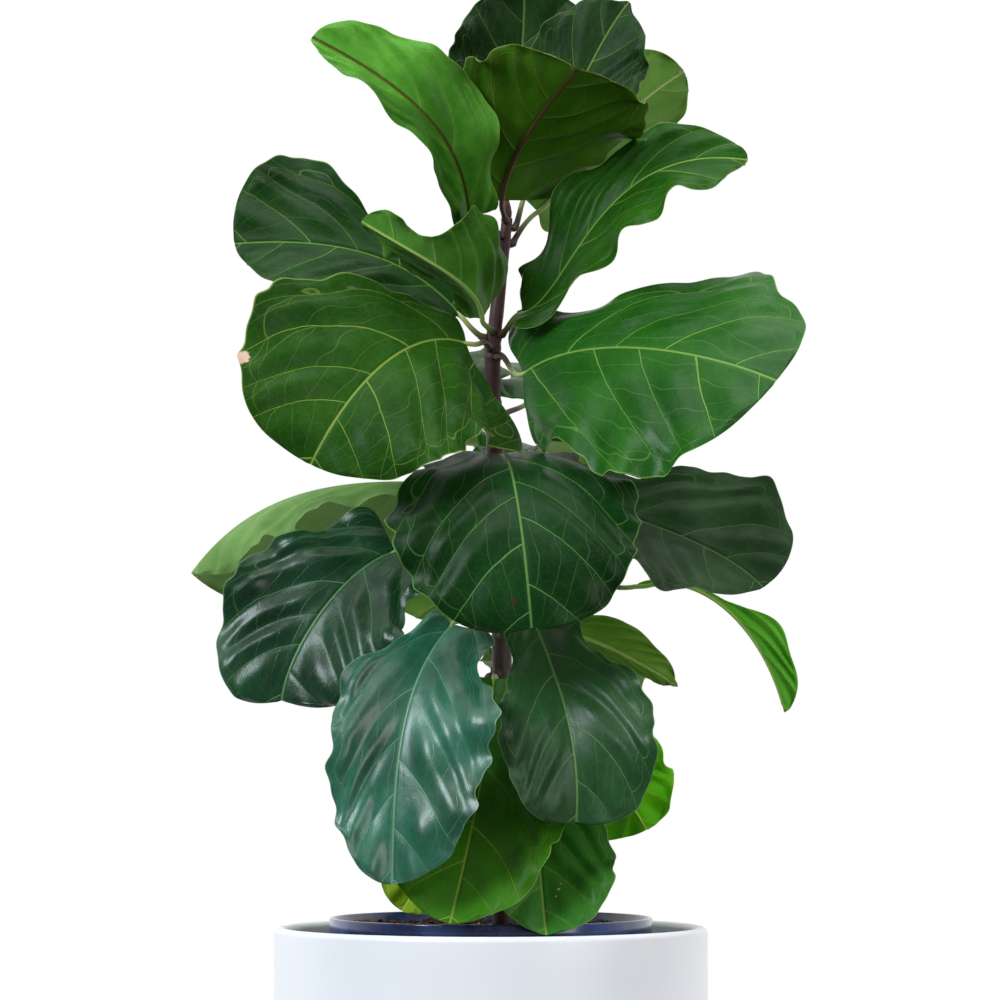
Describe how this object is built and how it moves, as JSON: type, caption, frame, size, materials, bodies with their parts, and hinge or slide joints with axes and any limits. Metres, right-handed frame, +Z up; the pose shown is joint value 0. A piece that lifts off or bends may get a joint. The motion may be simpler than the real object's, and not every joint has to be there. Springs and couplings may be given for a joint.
{
  "type": "potted fiddle leaf fig",
  "caption": "Potted fiddle leaf fig: a slender woody stem with large violin-shaped leaves, in a nursery pot of soil inside a plain round outer pot.",
  "frame": {"origin": "centre of the outer pot's flat base", "axes": "+Z up along the pot's axis and the stem; -Y towards the front of the plant; +X to its right seen from the front"},
  "size_m": [0.4685, 0.3805, 0.985],
  "materials": {
    "outer_pot": "smooth satin glaze, white with a cool cast",
    "nursery_pot": "glossy moulded plastic, blue-black",
    "soil": "dark reddish-brown potting mix with bark chips",
    "stem": "matte dark purple-brown bark",
    "bud": "dry brown sheath",
    "leaf": "leathery, glossy above and paler below, with pale veins"
  },
  "bodies": {
    "root": {"outer_pot": "outer_pot", "nursery_pot": "nursery_pot", "soil": "soil", "stem": "stem", "apical_bud": "bud", "leaf_top_back": "leaf", "leaf_top_back_right": "leaf", "leaf_top_centre": "leaf", "leaf_top_right": "leaf", "leaf_upper_left": "leaf", "leaf_left_dark": "leaf", "leaf_small_centre": "leaf", "leaf_right_upper": "leaf", "leaf_right_big": "leaf", "leaf_left_big": "leaf", "leaf_far_left": "leaf", "leaf_left_glossy": "leaf", "leaf_front_round": "leaf", "leaf_right_mid": "leaf", "leaf_right_curl": "leaf", "leaf_low_left": "leaf", "leaf_low_centre": "leaf", "leaf_bottom_centre": "leaf", "leaf_bottom_right": "leaf", "leaf_right_low_back": "leaf", "leaf_low_left_back": "leaf", "leaf_right_small": "leaf", "leaf_back_mid": "leaf", "leaf_back_left": "leaf", "leaf_back_right": "leaf", "leaf_back_low": "leaf", "leaf_back_low_right": "leaf", "leaf_back_low_left": "leaf"}
  },
  "joints": []
}
